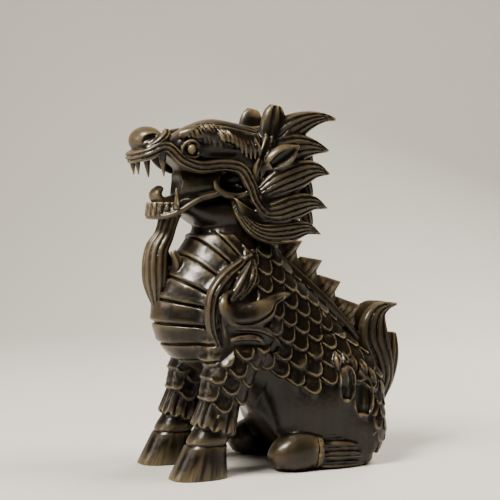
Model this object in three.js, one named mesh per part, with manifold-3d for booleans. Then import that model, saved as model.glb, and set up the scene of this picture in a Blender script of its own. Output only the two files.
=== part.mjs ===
// A qilin carved from one block of dark wood. It sits on its haunches, head raised and mouth open.
// Millimetres, +Z up. It faces -Y, its own left side is +X, and it stands on z = 0.
//
// The pose is drawn on a grid of 150 squares to the figure's height. A station is one row of numbers in
// squares of that grid: the middle of a section and the two half sizes of the section there.

import * as THREE from 'three';
import { mergeVertices } from 'three/addons/utils/BufferGeometryUtils.js';
import Module from 'manifold-3d';

const wasm = await Module();
wasm.setup();

// Driving sizes
const height = 150; // millimetres, ground to the tip of the horns
const gridSquares = 150;
const square = height / gridSquares;

// Widths and carving, in squares of the grid, so that they keep their share of the height
const frontLegSpread = 36; // between the middles of the front legs
const rearLegSpread = 41; // between the middles of the rear feet
const trunkWidth = 44; // widest place of the chest and belly
const headWidth = 30; // over the cheeks
const scaleWidth = 8.4; // one body scale, side to side
const scaleThickness = 1.2; // how far a scale's tip stands off the body
const bandGroove = 2.3; // the cut between two breast bands, edge to edge
const bandGrooveDepth = 1.5;
const lipDepth = 5.4; // the three cords that edge the upper lip, together
const tolerance = 0.05; // what the joined solid may be simplified by

const left = 1;
const right = -1;
const bothSides = [left, right];

// Points of a station, in millimetres. A side of -1 draws it on the figure's right.
const place = (x, y, z) => new THREE.Vector3(x * square, y * square, z * square);
const onSide = (side, x, y, z) => place(side * x, y, z);

// Outlines of a section, as shares of its two half sizes. Each is a list of [across, rise].
// A superellipse: a higher power is squarer.
function round(sides, power = 2) {
  return Array.from({ length: sides }, (_, i) => {
    const turn = ((i + 0.5) / sides) * 2 * Math.PI;
    const c = Math.cos(turn);
    const s = Math.sin(turn);
    const reach = (Math.abs(c) ** power + Math.abs(s) ** power) ** (-1 / power);
    return [c * reach, s * reach];
  });
}

// A ring of flutes: as many ridges as valleys.
function fluted(count, depth) {
  return Array.from({ length: 2 * count }, (_, i) => {
    const turn = (i / count) * Math.PI;
    const reach = i % 2 === 0 ? 1 : 1 - depth;
    return [Math.cos(turn) * reach, Math.sin(turn) * reach];
  });
}

// A flat band whose outer face is a row of cords, as hair is carved. It comes to an edge inside, root deep.
function corded(count, { root = 1, depth = 0.5 } = {}) {
  const cord = (_, i) => [i % 2 === 0 ? 1 : 1 - depth, (i + 1) / count - 1];
  const face = Array.from({ length: 2 * count - 1 }, cord);
  return [[-root, 0], [0, -1], ...face, [0, 1]];
}

const section = (middle, across, rise, outline) =>
  outline.map(([a, r]) => middle.clone().addScaledVector(across, a).addScaledVector(rise, r));

// The closed skin over a row of rings, with a fan of triangles at each end.
// The last fan may have its own middle.
function skin(rings, crown) {
  const sides = rings[0].length;
  const points = rings.flat();
  const faces = [];
  for (let r = 0; r + 1 < rings.length; r += 1) {
    for (let i = 0; i < sides; i += 1) {
      const j = (i + 1) % sides;
      const a = r * sides + i;
      const b = r * sides + j;
      faces.push(a, b, b + sides, a, b + sides, a + sides);
    }
  }
  const middleOf = (row) => row.reduce((sum, p) => sum.add(p), new THREE.Vector3()).divideScalar(row.length);
  const first = points.push(middleOf(rings[0])) - 1;
  const last = points.push(crown ?? middleOf(rings.at(-1))) - 1;
  const top = (rings.length - 1) * sides;
  for (let i = 0; i < sides; i += 1) {
    const j = (i + 1) % sides;
    faces.push(first, j, i, last, top + i, top + j);
  }
  return new THREE.BufferGeometry().setFromPoints(points).setIndex(faces);
}

// A manifold-3d solid of a closed geometry, turned face out if its faces point in.
function solid(geometry) {
  const bare = new THREE.BufferGeometry().setAttribute('position', geometry.getAttribute('position'));
  if (geometry.index) bare.setIndex(geometry.index);
  const merged = mergeVertices(bare, 1e-4);
  const vertProperties = merged.attributes.position.array;
  const make = (triVerts) => new wasm.Manifold(new wasm.Mesh({ numProp: 3, vertProperties, triVerts }));
  const faces = new Uint32Array(merged.index.array);
  const made = make(faces);
  if (made.volume() > 0) return made;
  for (let i = 0; i < faces.length; i += 3) [faces[i + 1], faces[i + 2]] = [faces[i + 2], faces[i + 1]];
  return make(faces);
}

const join = (pieces) => pieces.reduce((sum, piece) => sum.add(piece));
const cut = (body, pieces) => pieces.reduce((rest, piece) => rest.subtract(piece), body);

function geometryOf(body) {
  const mesh = body.getMesh();
  const shape = new THREE.BufferGeometry();
  shape.setAttribute('position', new THREE.BufferAttribute(mesh.vertProperties, mesh.numProp));
  shape.setIndex(new THREE.BufferAttribute(mesh.triVerts, 1));
  return shape;
}

// A smooth path through points [x, y, z] on one side of the figure.
const curve = (points, side, kind) =>
  new THREE.CatmullRomCurve3(points.map(([x, y, z]) => onSide(side, x, y, z)), false, kind);

// A form swept along a smooth path.
// Each station is [x, y, z, half size across, half size in the path's plane].
// The sections stand square to the path, and across is the direction nearest to the figure's own sideways.
function sweep(stations, outline, steps, side = left) {
  const path = curve(stations, side, 'centripetal');
  const sizes = curve(stations.map(([, , , a, d]) => [a, d, 0]), left, 'catmullrom');
  const outward = new THREE.Vector3(side, 0, 0);
  const rings = Array.from({ length: steps + 1 }, (_, i) => {
    const along = path.getTangent(i / steps);
    const across = outward.clone().addScaledVector(along, -outward.dot(along)).normalize();
    const rise = new THREE.Vector3().crossVectors(along, across);
    const size = sizes.getPoint(i / steps);
    across.multiplyScalar(size.x);
    rise.multiplyScalar(size.y);
    return section(path.getPoint(i / steps), across, rise, outline);
  });
  return solid(skin(rings));
}

const sweepBoth = (stations, outline, steps) =>
  bothSides.map((side) => sweep(stations, outline, steps, side));

// A form built of slices.
// Each row is the slice's front point (y, z), its back point (y, z) and its half width.
function slices(rows, outline, widen = 1) {
  return solid(skin(rows.map(([frontY, frontZ, backY, backZ, half]) => {
    const front = place(0, frontY, frontZ);
    const back = place(0, backY, backZ);
    const middle = front.clone().add(back).multiplyScalar(0.5);
    return section(middle, place(half * widen, 0, 0), back.sub(middle), outline);
  })));
}

// A ball or egg: its middle and its three half sizes, in squares of the grid.
function egg(side, [x, y, z], [a, b, c], around = 12, up = 8) {
  const shape = new THREE.SphereGeometry(1, around, up);
  shape.scale(a * square, b * square, c * square);
  const middle = onSide(side, x, y, z);
  shape.translate(middle.x, middle.y, middle.z);
  return solid(shape);
}

// Neck, breast, belly and rump, from the throat down
const drawnTrunkWidth = 44;
const trunkRows = [
  [-23, 112, 8, 112, 11],
  [-24.5, 103, 8, 103, 12.2],
  [-27, 94.5, 8.5, 94, 15],
  [-33, 86, 14, 84, 18.3],
  [-38.5, 78, 20.5, 77, 20.4],
  [-41.5, 69.5, 27.5, 70.5, 21.6],
  [-41.8, 61, 35, 63, 22],
  [-39, 53, 42, 55, 22],
  [-33, 46, 48.5, 47, 21.5],
  [-24, 40.5, 54.5, 40, 21.5],
  [-13, 34.5, 59, 32, 21.5],
  [0, 21, 57, 18, 20],
  [13, 6, 48, 4, 15],
];
const trunk = () => slices(trunkRows, round(14, 2.1), trunkWidth / drawnTrunkWidth);

// Upper leg, shin, the tuft of hair above the hoof, and the hoof.
// Each row is z, the middle's y, the half depth, the half width,
// and how far the middle lies in from the leg's line.
const foreLegRows = [
  [86, -8, 5, 3, 5],
  [78, -12, 12, 6.6, 3],
  [70, -12.5, 15, 8, 1.2],
  [60, -12, 16.4, 8.4, 0.6],
  [52, -14, 13.6, 8, 0.2],
  [44, -17, 11, 7.6, 0],
  [30, -21, 8, 6.2, 0],
  [18.3, -25.6, 7.3, 6.2, 0],
  [14, -27.6, 8.6, 7.2, 0],
  [0, -31.3, 11.9, 8.8, 0],
];
// The tuft: rows of z, the middle's y, half depth and half width
const tuftRows = [[33, -20.4, 7.6, 5.8], [25, -23.2, 8.6, 7.2], [18.6, -25.2, 9.8, 8.6]];
const tuftStrands = 6;

function foreLeg(side) {
  const legLine = frontLegSpread / 2;
  const level = ([z, y, deep, wide, inward = 0], outline) =>
    section(onSide(side, legLine - inward, y, z), place(wide, 0, 0), place(0, deep, 0), outline);
  const leg = foreLegRows.map((row) => level(row, round(8, 2.5)));
  const tuft = tuftRows.map((row) => level(row, fluted(tuftStrands, 0.16)));
  return [solid(skin(leg)), solid(skin(tuft))];
}

// Thigh, heel, and the foot that lies forward along the ground and ends in its hoof.
// Stations of the foot are y, z and the two half sizes.
const rearFoot = [[40, 6.2, 6.4, 7], [19.5, 7, 6.8, 7.4]];
const rearHoof = [
  [20.6, 8, 7.2, 8], [16, 8.1, 8.2, 8.7], [11, 7.4, 8.1, 8.4], [5, 6, 7.2, 6.9], [1.4, 4.4, 5.4, 4.8],
  [0.2, 3.4, 3, 3],
];
const thigh = { middle: [14.5, 28, 27], half: [14.5, 26.5, 25.5] };
const heel = { middle: [19, 41, 12], half: [10, 12, 11.5] };

function rearLeg(side) {
  const footLine = rearLegSpread / 2;
  const along = (stations, steps) =>
    sweep(stations.map((row) => [footLine, ...row]), round(8, 2.3), steps, side);
  return [
    egg(side, thigh.middle, thigh.half, 10, 6),
    egg(side, heel.middle, heel.half, 8, 5),
    along(rearFoot, 1),
    along(rearHoof, 5),
  ];
}

// The skull with the upper jaw, and the lower jaw. Each row is y, the top, the bottom and the half width.
const drawnHeadWidth = 30;
const skullRows = [
  [-53, 130, 126.6, 4.4],
  [-47.5, 132, 127, 9.4],
  [-41, 134.4, 129, 10.2],
  [-37, 135.6, 126.6, 10.8],
  [-33, 138.2, 123.4, 11.8],
  [-28, 140.9, 121.9, 12.6],
  [-21, 143.4, 121.6, 13.4],
  [-8, 142.3, 116, 14.8],
  [0, 141, 108, 15],
];
const jawRows = [
  [-46.2, 111.6, 106.4, 3.6],
  [-44, 111.4, 104.2, 6.8],
  [-40.4, 110, 104, 8.6],
  [-36, 110.9, 105.4, 9.5],
  [-31, 111, 104, 10],
  [-25, 112.2, 100, 11],
  [-18, 112.9, 97, 12.4],
  [-10, 112.4, 96, 13.6],
];

function headBlock(rows, outline) {
  const widen = headWidth / drawnHeadWidth;
  const slice = ([y, top, bottom, half]) => {
    const middle = place(0, y, (top + bottom) / 2);
    return section(middle, place(half * widen, 0, 0), place(0, 0, (top - bottom) / 2), outline);
  };
  return solid(skin(rows.map(slice)));
}

// The throat, seen through the open mouth
const throat = [
  [0, -4, 117, 10.5, 9], [0, -20, 117, 10.5, 8], [0, -30, 117, 8, 8], [0, -34.5, 117.5, 6, 7],
];

// Nose ball, its nostrils, and the strand that curls round each nostril
const nose = { middle: [0, -46.2, 134.4], half: [8.8, 6.8, 5.7] };
const nostril = { middle: [8.8, -47.6, 134.8], half: [2.6, 3.1, 1.9] };
const nostrilWing = [
  [6.6, -39.8, 136.8, 1.1, 1.6], [9.6, -41.4, 134.8, 1.3, 1.6], [9.6, -44.6, 132.2, 1.3, 1.4],
  [7.6, -49, 130.8, 1, 1],
];

// The three cords that edge the upper lip, from under the nose to the corner of the mouth
const lipLine = [
  [0, -52.4, 127.6], [4.6, -51.4, 127.8], [8.8, -48.2, 128.8],
  [10.4, -41.6, 131.3], [12, -35, 126], [13.2, -28.4, 123.7],
  [14.4, -17.6, 124.3], [15, -11.2, 122.9], [15.8, -7, 116.5], [16.2, -4.8, 109],
];

// The lower lip, from the chin to the corner of the mouth, where it curls up
const lowerLip = [
  [3.6, -45.8, 111.8, 1, 1], [7.8, -42.8, 110.6, 1, 1], [9.6, -36.5, 111, 1.1, 1.1],
  [11.4, -25.5, 112.3, 1, 1], [13, -20, 113.2, 1, 1], [14.4, -13.5, 112.2, 1.2, 1.2],
  [15.4, -9, 113.4, 1.2, 1.2],
];

// Each tooth is a thin cone: the middle of its root, its tip and the half size of its root.
const fangs = [
  [[9, -42.6, 129], [8.7, -42.7, 119.7], 1.5],
  [[4.8, -49.4, 127.4], [4.7, -48.9, 121], 1.3],
  [[9.1, -36.3, 109.5], [8.9, -36.6, 116], 1.2],
];
const toothTip = 0.25;
const teeth = (side) => fangs.map(([root, tip, half]) => {
  const stations = [[...root, half, half], [...tip, toothTip, toothTip]];
  return sweep(stations, round(3), 1, side);
});

const tongue = [
  [0, -22, 112, 6, 3], [0, -33, 110.4, 5.2, 2.5], [0, -41.4, 111.2, 4.8, 2.2], [0, -43.2, 114.6, 4.6, 2],
  [0, -41, 117, 3.4, 1],
];

// Bushy brow. Its hair hangs in tufts, so that every second section is the fuller one.
const browLine = [
  [9.4, -35.5, 136, 2, 1.6], [11.4, -31, 136.6, 2.6, 3.2], [12.6, -24, 136, 2.8, 4.4],
  [13.6, -16, 134, 2.8, 5], [14.2, -8.5, 132.8, 2.4, 5], [14.2, -3, 133.4, 1.8, 3.4],
];
const browTufts = 4;
const browNotch = 0.86; // the thinner sections, as a share of the fuller ones

function brow(side) {
  const line = curve(browLine, left);
  const sizes = curve(browLine.map(([, , , across, deep]) => [across, deep, 0]), left);
  const stations = Array.from({ length: 2 * browTufts }, (_, i) => {
    const at = line.getPoint(i / (2 * browTufts - 1)).divideScalar(square);
    const size = sizes.getPoint(i / (2 * browTufts - 1)).divideScalar(square);
    const share = i % 2 === 0 ? browNotch : 1;
    return [...at, size.x * share, size.y * share];
  });
  return sweep(stations, round(5), stations.length - 1, side);
}

const eye = { middle: [11.9, -31.6, 130.6], half: [2.6, 2.7, 2.9] };

const horn = [
  [9.5, 3.2, 131, 3.2, 4.6], [10.6, 4.6, 136.5, 3.4, 5.6], [11.2, 5.8, 142, 3, 5.4],
  [11.1, 6.8, 146.6, 2.2, 3.8], [11, 7.4, 149.7, 0.9, 1.3],
];

// Ear, with a deep hollow down its outer face
const ear = [
  [13.4, -2.5, 123, 2.4, 2], [16.4, 1.4, 126.6, 3.4, 4.2], [17, 6.6, 129.4, 3, 4],
  [17, 12.6, 132.4, 0.4, 0.5],
];

// The mane: the block behind the head that the locks grow from
const maneRows = [
  [-13, 95.5, 12, 97, 11.5],
  [-12, 103, 17.5, 103, 14.4],
  [-10, 115, 21, 115, 15],
  [-6, 128, 23, 128, 14.4],
  [-4, 136.5, 22, 137.5, 12.4],
  [0, 140.5, 15, 141.4, 8.6],
];
// The flame-shaped locks on each side, and a shorter row down the middle of the back of the head
const sideLocks = [
  [
    [9.5, 4, 132, 4, 6.5], [12, 13.6, 140, 3.4, 6.2], [13, 22, 143.8, 2.6, 3.8],
    [13, 29, 144.8, 1.8, 1.8], [13, 33.4, 144.2, 0.8, 0.7],
  ],
  [[12, 5, 130, 3.4, 6], [13.8, 14, 132, 3, 6.6], [13.8, 22, 132.4, 2, 3.8], [13, 30.2, 131.1, 0.7, 0.6]],
  [
    [15.4, -4, 112.4, 1.8, 2.4], [17, 4, 117, 2.8, 5.6], [16.6, 13, 120.6, 2.8, 6.4],
    [15.4, 22.4, 122.8, 2, 3.8], [14, 30.2, 121.4, 0.5, 0.4],
  ],
  [
    [15.4, -5.4, 105.6, 1.8, 2], [17.4, 3, 105.4, 2.8, 5], [17, 12.4, 108, 2.8, 5.6],
    [15.6, 21.6, 109.2, 2, 3.2], [14.2, 28.8, 107.1, 0.5, 0.4],
  ],
  [
    [14.2, -13, 109.6, 1.5, 1.4], [16.4, -9.6, 101.2, 2.4, 2.4], [17.8, -1.6, 97, 2.8, 4],
    [17, 9, 97.4, 2.8, 4.8], [15.6, 18.6, 98.6, 2, 2.8], [14, 26, 96.3, 0.4, 0.3],
  ],
];
const lockCords = 3;
// Each back lock is the height of its root, the height of its tip and how far back the tip is.
const backLocks = [[136, 142, 26], [122, 125, 28], [108, 108, 26]];
const backLock = ([root, tip, reach]) => {
  const stations = [
    [0, 12, root - 2, 7, 5], [0, 18, root, 6, 4.6],
    [0, reach - 2, tip - 0.5, 3, 2], [0, reach + 2, tip, 0.8, 0.6],
  ];
  return sweep(stations, round(6), 3);
};

// Beard, and the short lock behind it on each side
const beard = [
  [0, -35.6, 106, 5, 4.6], [0, -37, 101, 4.6, 4], [0, -38.6, 96, 4.6, 4], [0, -41.6, 90.4, 5.4, 4.8],
  [0, -42.4, 84, 6.2, 5.3], [0, -42.3, 77, 6, 5], [0, -42, 71, 4.2, 3.2], [0, -41.6, 65.4, 0.9, 0.8],
];
const beardFlutes = 5;
const beardSideLock = [[4.6, -36.4, 90, 1.4, 1.4], [6, -34.8, 84, 2.2, 2.2], [5, -37, 77, 0.6, 0.6]];

// Ridge of the back, and its saw-toothed fins: each is the tip and the middle of the root
const ridge = [
  [0, 2, 101, 4, 5], [0, 12.5, 91.5, 4, 5.6], [0, 20.6, 83.6, 3.8, 5.8], [0, 29, 75.6, 3.8, 5.8],
  [0, 37.6, 66, 3.8, 5.6], [0, 46, 54.6, 3.6, 4.8], [0, 54, 43.6, 3, 3.4],
];
const fins = [
  [[15.6, 101], [9.6, 98]],
  [[24.8, 93.4], [18.6, 90.6]],
  [[34.4, 84.8], [27.6, 82.8]],
  [[43.4, 75.4], [36.2, 73.8]],
  [[52.8, 65], [44.6, 63]],
];
const finLength = 14; // along the back
const finThickness = 6;
const finFoot = [[1, 0], [0, 1], [-1, 0], [0, -1]];

function fin([[tipY, tipZ], [rootY, rootZ]]) {
  const slope = place(0, 1, -1).normalize().multiplyScalar((finLength / 2) * square);
  const level = (share) => {
    const middle = place(0, rootY, rootZ).lerp(place(0, tipY, tipZ), share);
    const taper = 1 - 0.9 * share;
    const across = place((finThickness / 2) * taper, 0, 0);
    return section(middle, across, slope.clone().multiplyScalar(taper), finFoot);
  };
  return solid(skin([level(0), level(1)]));
}

// Tail: a tall lock on each side of a shorter one
const tailSideLock = [
  [5, 57, 24, 3.4, 5], [6, 60.4, 34, 4, 5.4], [6, 59, 43, 4.2, 6.4], [5.8, 56.4, 51, 4, 7.4],
  [5.4, 56.8, 57.6, 3.4, 6.6], [5, 59.4, 62.3, 2.6, 4.4], [4.6, 64, 64.4, 1.8, 2],
  [4.4, 69, 65.1, 0.6, 0.6],
];
const tailCords = 3;
const tailMiddleLock = [
  [0, 58, 22, 5, 4.6], [0, 63.6, 31, 5.4, 5.2], [0, 66.8, 40, 5, 5], [0, 68, 47, 4.2, 4],
  [0, 68.6, 52.4, 2.6, 2.6],
];

// Shoulder: hair swept back from the breast, two leaves, the comma that curls under them and a strand below
const shoulderHair = [
  [16, -6.4, 89.6, 1.4, 1.6], [19.4, -13.3, 84, 1.9, 3], [21.2, -20.6, 79.2, 2.1, 3.6],
  [21, -25.4, 73.4, 2.1, 3.8], [20.4, -26.8, 66, 2, 3.4], [20.2, -25.6, 59, 1.7, 2.8],
  [20, -23.4, 52.8, 0.9, 1.4],
];
const shoulderLeaf = [
  [19, -8.2, 86, 0.9, 0.9], [22.4, -12.2, 79.4, 1.9, 3], [24, -15.8, 74, 2, 3.2],
  [23.4, -18.8, 69.6, 0.9, 1],
];
const comma = [
  [23, -21, 72.6, 1, 1], [23.4, -22.2, 68.6, 2.2, 2.6], [24.2, -18.4, 64.8, 2.8, 4.2],
  [24.8, -12, 65, 3, 5], [24.8, -5.6, 67.4, 2.8, 4.2], [24, 0.6, 70.6, 2.2, 2.8],
  [22.8, 5.6, 71.8, 1.4, 1.5], [21.6, 10, 72.4, 0.5, 0.5],
];
const underStrand = [
  [22.4, -20.4, 59, 0.8, 1], [24, -14.4, 59.6, 1.9, 2.6], [24.2, -8.6, 59, 1.9, 2.4],
  [23.8, -3.6, 57, 1.6, 2], [22.6, 1, 54.2, 1.1, 1.2], [21.2, 5, 50.6, 0.5, 0.5],
];

// Hip: a crest of hair over two hooked leaves
const hipForms = [
  [
    [23, 29, 43.6, 1, 1], [27, 34, 41, 2, 2.4], [28, 37.4, 34.6, 2, 2.8], [27.8, 34.4, 28.6, 1.6, 1.8],
    [27.4, 31.2, 27.4, 0.7, 0.7],
  ],
  [
    [23, 37, 44.6, 1, 1.2], [25.4, 42.6, 38.6, 2, 2.8], [25.8, 44.6, 31.6, 2.2, 3.2],
    [25.6, 43.2, 25, 1.6, 2.2], [25, 41, 21.4, 0.6, 0.7],
  ],
];

// A picked place on the skin where a line first meets the body: the point and the way out of the skin.
function skinAt(body, from, way) {
  const [hit] = new THREE.Raycaster(from, way).intersectObject(body);
  return hit && { point: hit.point, out: hit.face.normal.clone() };
}

// Body scales. They hang like roof tiles in staggered rows, tips down, on a grid that leans with the back.
// Each shows as a kite between its neighbours: its top is the tip of the scale two rows up.
const scaleLean = THREE.MathUtils.degToRad(25);
const scaleRowPitch = 0.68; // one row below the next, as a share of a scale's width
const scaleGridOrigin = [7, 64.6];
const fineness = 1000; // a scale's corners are rounded to a thousandth of a square
const scaleBed = 1; // squares from the body's skin to the root of a scale
const scaleDome = 0.5; // squares that the middle of a scale bulges
const scaleRoot = 8; // squares from the middle plane to the hidden foot of every scale
const shallowestSkin = 0.4; // the least that the skin is taken to face sideways under a scale
// The kite's corners: shares of a scale's width along the row, and of a row's pitch down from its widest
const tipBulge = [0.33, 0.66]; // rounds the lower edge
const kite = [
  [-0.5, 0], [-tipBulge[0], tipBulge[1]], [0, 1], tipBulge, [0.5, 0],
  [0.5 - tipBulge[0], tipBulge[1] - 1], [0, -1], [tipBulge[0] - 0.5, tipBulge[1] - 1],
];
// Where scales lie: a row, and its first and last column. Row 0, column 0 is the origin of the grid.
const scaleRows = [
  [-3, -0.5, 0.5], [-2, 0, 1], [-1, 0.5, 1.5], [0, -1, 2], [1, -0.5, 2.5], [2, -2, 2],
  [3, -1.5, 2.5], [4, 0, 3], [5, -0.5, -0.5],
  [1, -3.5, -2.5], [2, -4, -3], // on the foreleg
];

function scales(body, side) {
  const beside = 60;
    const lean = [Math.cos(scaleLean), Math.sin(scaleLean)];
  const rowWay = new THREE.Vector2(lean[0], lean[1]).multiplyScalar(scaleWidth);
  const downWay = new THREE.Vector2(lean[1], -lean[0]).multiplyScalar(scaleWidth * scaleRowPitch);
  // Rounded, so that neighbours share their corners exactly
  const spot = (along, down) => {
    const at = new THREE.Vector2(...scaleGridOrigin);
    at.addScaledVector(rowWay, along).addScaledVector(downWay, down);
    return at.multiplyScalar(fineness).round().divideScalar(fineness);
  };
  // A corner of a scale that stands off the skin by lift, or nothing where the skin is too near the middle
  const raised = ({ x: y, y: z }, lift) => {
    const hit = skinAt(body, onSide(side, beside, y, z), new THREE.Vector3(-side, 0, 0));
    if (!hit || side * hit.point.x < (scaleRoot + 1) * square) return undefined;
    const { point, out } = hit;
    return point.setX(point.x + (side * lift * square) / Math.max(side * out.x, shallowestSkin));
  };
  // Only the lower half rises, to the tip, so that neighbours meet level elsewhere
  const heightAt = (down) => scaleBed + scaleThickness * Math.max(0, down);
  const scale = (row, column) => {
    const top = kite.map(([along, down]) => raised(spot(column + along, row + down), heightAt(down)));
    if (top.includes(undefined)) return [];
    const crown = raised(spot(column, row), heightAt(0) + scaleDome);
    const foot = top.map((corner) => corner.clone().setX(side * scaleRoot * square));
    return [solid(skin([foot, top], crown))];
  };
  return join(scaleRows.flatMap(([row, first, last]) =>
    Array.from({ length: last - first + 1 }, (_, i) => scale(row, first + i)).flat()));
}

// The cuts between the breast bands run round the front from shoulder to shoulder. The upper ones droop.
// Each row is the height in the middle, the droop at its ends and the half width.
const bandCuts = [[91, 5, 13], [84.4, 5, 15], [77, 3, 17], [69, 1, 18], [60.6, 0, 18], [52, 0, 17]];
const bandSteps = 4;

function bandCut(body, [z, droop, half]) {
  const ahead = 80;
  const line = Array.from({ length: bandSteps + 1 }, (_, i) => {
    const share = (2 * i) / bandSteps - 1;
    return skinAt(body, place(share * half, -ahead, z - droop * share ** 2), new THREE.Vector3(0, 1, 0));
  }).filter(Boolean);
  const up = place(0, 0, bandGroove / 2);
  const wedge = [[1, 0.9], [-1, 0], [1, -0.9]];
  const across = ({ out }) => out.clone().multiplyScalar(bandGrooveDepth * square);
  return solid(skin(line.map((hit) => section(hit.point, across(hit), up, wedge))));
}

// Everything below the ground, cut away so that hooves and feet stand flat
function underground() {
  const wide = 2 * height;
  const block = new THREE.BoxGeometry(wide, wide, wide);
  block.translate(0, 0, -wide / 2);
  return solid(block);
}

function figure() {
  const body = join([trunk(), ...bothSides.flatMap((side) => [...foreLeg(side), ...rearLeg(side)])]);
  const bodyMesh = new THREE.Mesh(geometryOf(body), new THREE.MeshBasicMaterial());
  const scaled = join([body, ...bothSides.map((side) => scales(bodyMesh, side))]);
  const banded = cut(scaled, bandCuts.map((row) => bandCut(bodyMesh, row)));

  const half = lipDepth / 2;
  const lipStations = lipLine.map((point) => [...point, 1.7, half]);
  const nosed = cut(join([headBlock(skullRows, round(10, 2.5)), egg(left, nose.middle, nose.half, 10, 6)]),
    bothSides.map((side) => egg(side, nostril.middle, nostril.half, 6, 4)));
  const head = [
    nosed,
    headBlock(jawRows, round(8, 2.5)),
    sweep(throat, round(8, 2.5), 2),
    sweep(tongue, round(6), 5),
    slices(maneRows, round(12, 2.6)),
    ...sweepBoth(lipStations, corded(3, { root: 2 }), lipLine.length - 1),
    ...sweepBoth(lowerLip, round(3), 5),
    ...sweepBoth(nostrilWing, round(3), 3),
    ...bothSides.flatMap((side) => [...teeth(side), brow(side), egg(side, eye.middle, eye.half, 6, 4)]),
    ...sweepBoth(horn, round(7), 3),
    ...sweepBoth(ear, corded(2, { root: 1.6, depth: 0.9 }), 4),
    ...sideLocks.flatMap((lock) => sweepBoth(lock, corded(lockCords, { root: 2.2 }), lock.length - 1)),
    ...backLocks.map(backLock),
    sweep(beard, fluted(beardFlutes, 0.16), 6),
    ...sweepBoth(beardSideLock, round(4), 3),
  ];
  const hair = [
    sweep(ridge, round(5), 4),
    ...fins.map(fin),
    sweep(tailMiddleLock, fluted(5, 0.14), 3),
    ...sweepBoth(tailSideLock, corded(tailCords), tailSideLock.length - 1),
    ...sweepBoth(shoulderHair, corded(2), 6),
    ...sweepBoth(shoulderLeaf, corded(2), 4),
    ...sweepBoth(comma, round(5), 6),
    ...sweepBoth(underStrand, round(4), 3),
    ...hipForms.flatMap((form) => sweepBoth(form, corded(2), form.length - 1)),
  ];
  const carved = join([banded, ...head, ...hair]).subtract(underground());
  // Flat crumbs without volume can be left where scales share an edge: only the figure is kept.
  const whole = carved.decompose().reduce((most, body) => (body.volume() > most.volume() ? body : most));
  return whole.asOriginal().simplify(tolerance * square);
}

const wood = new THREE.MeshStandardMaterial({ color: 0x33281d, roughness: 0.42, metalness: 0 });

const carving = geometryOf(figure());
carving.computeBoundingBox();
const span = carving.boundingBox;
carving.translate(0, -(span.min.y + span.max.y) / 2, 0); // the origin is under the middle of the figure
const qilin = new THREE.Mesh(carving, wood);
qilin.name = 'qilin_figure';

const group = new THREE.Group();
group.add(qilin);
export default group;
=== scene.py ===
"""A carved qilin in dark polished wood, on a pale floor.

The figure is modelled as clay: a block of numbers, below zero inside the wood. Forms are joined into it
one by one, and the chisel's relief is added to them. The skin of the block is then made into one mesh.

The pose is drawn on a grid of 150 squares to the figure's height, and every size and place of the figure is
in squares. It faces -Y and its left side is +X. Both sides are alike, so only the left half is modelled.
"""

import math

import bmesh
import bpy
import numpy as np
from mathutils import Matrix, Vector


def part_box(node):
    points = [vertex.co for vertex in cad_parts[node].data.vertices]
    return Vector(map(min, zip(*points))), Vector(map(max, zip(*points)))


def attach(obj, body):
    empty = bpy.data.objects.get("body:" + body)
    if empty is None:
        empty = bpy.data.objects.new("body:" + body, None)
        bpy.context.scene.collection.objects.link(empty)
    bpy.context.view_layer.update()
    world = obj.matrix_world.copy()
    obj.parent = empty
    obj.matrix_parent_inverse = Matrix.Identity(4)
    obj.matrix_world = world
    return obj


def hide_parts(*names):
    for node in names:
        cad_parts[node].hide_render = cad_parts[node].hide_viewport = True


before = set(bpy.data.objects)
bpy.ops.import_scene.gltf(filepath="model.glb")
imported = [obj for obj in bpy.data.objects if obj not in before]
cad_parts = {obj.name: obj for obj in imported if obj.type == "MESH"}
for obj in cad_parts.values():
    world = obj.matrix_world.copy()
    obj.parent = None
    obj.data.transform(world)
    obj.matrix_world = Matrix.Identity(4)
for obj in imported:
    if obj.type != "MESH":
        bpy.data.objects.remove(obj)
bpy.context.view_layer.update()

NODE = "qilin_figure"
LOW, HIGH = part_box(NODE)
HEIGHT = 149.95  # squares from the ground to the tips of the solid's horns
SQUARE = (HIGH[2] - LOW[2]) / HEIGHT  # metres
MIDDLE_Y = 8.69  # the grid's y of the middle of the figure, where the frame has its origin
VOXEL = 0.35  # squares between two numbers of the block
FAR = 50.0  # what the block holds where no form is near
SKIN = 2.5  # how far round itself a form can reach


def smooth_curve(at, knots, values):
    """A smooth curve through values at knots, read at the places at."""
    knots = np.asarray(knots, float)
    values = np.asarray(values, float)
    if knots[0] > knots[-1]:
        knots, values = knots[::-1], values[::-1]
    slope = np.gradient(values, knots)
    i = np.clip(np.searchsorted(knots, at) - 1, 0, len(knots) - 2)
    span = knots[i + 1] - knots[i]
    t = np.clip((at - knots[i]) / span, 0, 1)
    start = (1 + 2 * t) * (1 - t) ** 2 * values[i] + t * (1 - t) ** 2 * span * slope[i]
    end = t * t * (3 - 2 * t) * values[i + 1] + t * t * (t - 1) * span * slope[i + 1]
    return start + end


def soft_min(a, b, blend):
    """The nearer of two fields, with a fillet of size blend where they meet."""
    if blend <= 0:
        return np.minimum(a, b)
    near = np.maximum(blend - np.abs(a - b), 0) / blend
    return np.minimum(a, b) - near * near * blend / 4


def soft_max(a, b, blend):
    """The farther of two fields, rounded in the same way."""
    return -soft_min(-a, -b, blend)


def fade(value, start, end):
    """0 at start, 1 at end, smoothly."""
    t = np.clip((value - start) / (end - start), 0, 1)
    return t * t * (3 - 2 * t)


def held(value):
    """value kept just inside the ends of -1 to 1."""
    return np.clip(value, -0.999, 0.999)


def lobes(across, count):
    """How far a row of round lobes falls below its crests. across runs from -1 to 1."""
    place = (across + 1) * count / 2
    beside = 2 * (place - np.floor(place)) - 1
    return 1 - np.sqrt(np.maximum(1 - beside * beside, 0))


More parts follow.
